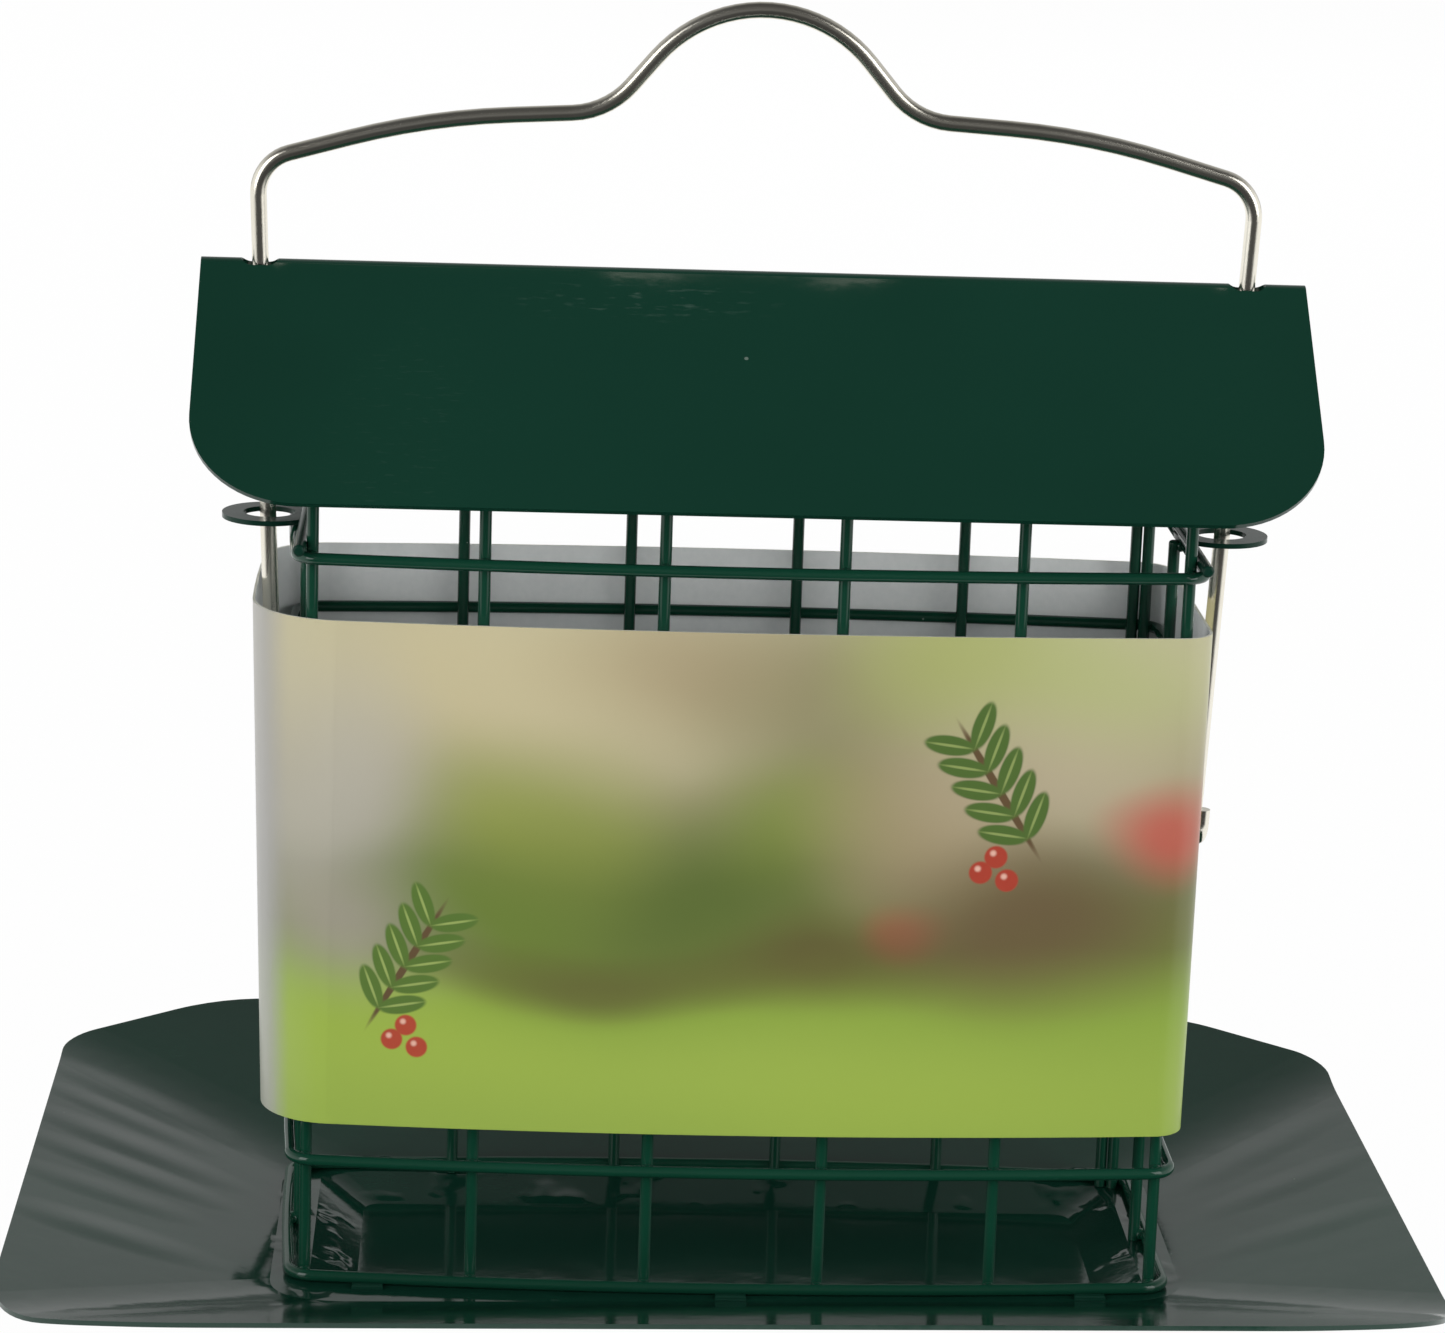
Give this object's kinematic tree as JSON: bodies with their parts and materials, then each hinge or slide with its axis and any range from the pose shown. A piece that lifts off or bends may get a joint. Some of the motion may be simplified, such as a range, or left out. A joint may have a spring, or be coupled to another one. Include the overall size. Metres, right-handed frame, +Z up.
{
  "type": "suet feeder",
  "caption": "Hanging suet block feeder: welded green wire cage on a pressed tray, gable roof that slides on a steel bail handle, card sleeve round the cage.",
  "frame": {"origin": "middle of the tray's underside, on the ground", "axes": "+Z up, +X along the roof's ridge, -Y the front"},
  "size_m": [0.226, 0.15, 0.207],
  "materials": {
    "cage_coating": "glossy dark green coating on wire",
    "bracket_steel": "glossy dark green coating on sheet",
    "tray_paint": "glossy dark green enamel",
    "roof_paint": "glossy dark green enamel",
    "handle_steel": "bright drawn wire",
    "printed_card": "glossy print outside, grey board inside"
  },
  "bodies": {
    "cage": {"back_upright_1": "cage_coating", "back_upright_2": "cage_coating", "back_upright_3": "cage_coating", "back_upright_4": "cage_coating", "back_upright_5": "cage_coating", "back_upright_6": "cage_coating", "back_upright_7": "cage_coating", "bottom_ring": "cage_coating", "card_sleeve": "printed_card", "fifth_ring": "cage_coating", "fourth_ring": "cage_coating", "front_upright_1": "cage_coating", "front_upright_2": "cage_coating", "front_upright_3": "cage_coating", "front_upright_4": "cage_coating", "front_upright_5": "cage_coating", "front_upright_6": "cage_coating", "left_eyelet_bracket": "bracket_steel", "left_side_upright": "cage_coating", "lower_ring": "cage_coating", "right_eyelet_bracket": "bracket_steel", "right_side_upright": "cage_coating", "rim_ring": "cage_coating", "second_ring": "cage_coating", "third_ring": "cage_coating", "tray": "tray_paint", "upper_ring": "cage_coating"},
    "handle": {"handle": "handle_steel"},
    "roof": {"roof": "roof_paint"}
  },
  "joints": [
    {"name": "handle_slide", "type": "slide", "parent": "cage", "child": "handle", "axis": [0, 0, 1], "range_m": [0, 0.043]},
    {"name": "roof_slide", "type": "slide", "parent": "handle", "child": "roof", "axis": [0, 0, 1], "range_m": [0, 0.009]}
  ]
}
